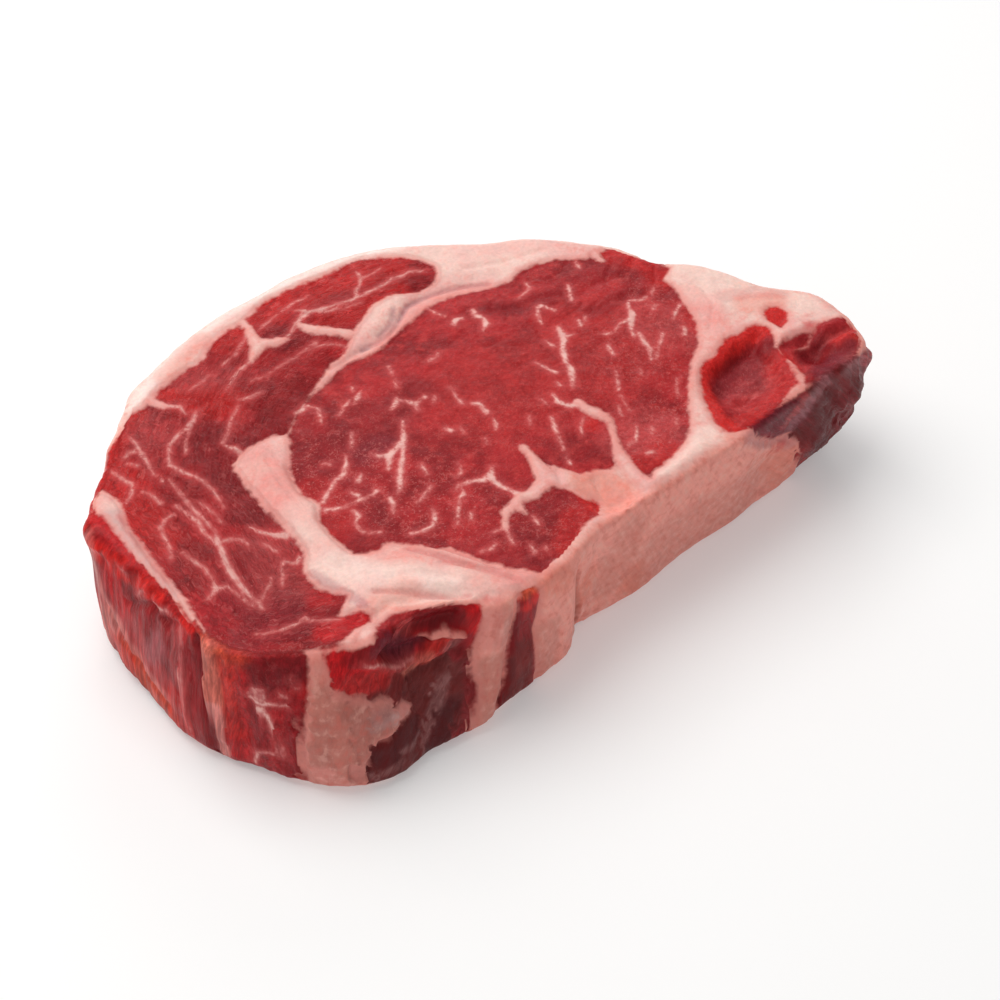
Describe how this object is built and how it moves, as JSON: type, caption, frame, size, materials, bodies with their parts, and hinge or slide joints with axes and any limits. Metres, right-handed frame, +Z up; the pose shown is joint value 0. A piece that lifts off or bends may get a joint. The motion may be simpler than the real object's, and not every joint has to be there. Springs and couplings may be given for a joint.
{
  "type": "raw ribeye steak",
  "caption": "Thick-cut raw boneless beef rib eye steak with eye muscle, cap, tail and fat, lying flat on a cut face.",
  "frame": {"origin": "centre of the steak's bounding box in plan, on the flat underside that it rests on", "axes": "+X along the steak's length towards the thin tail, +Y towards the rounded back of the cap, +Z up through its thickness, out of the upper cut face"},
  "size_m": [0.2, 0.137, 0.04],
  "materials": {
    "raw_beef": "moist raw meat: red lean with cream-pink fat and marbling, soft satin sheen"
  },
  "bodies": {
    "root": {"ribeye_steak": "raw_beef"}
  },
  "joints": []
}
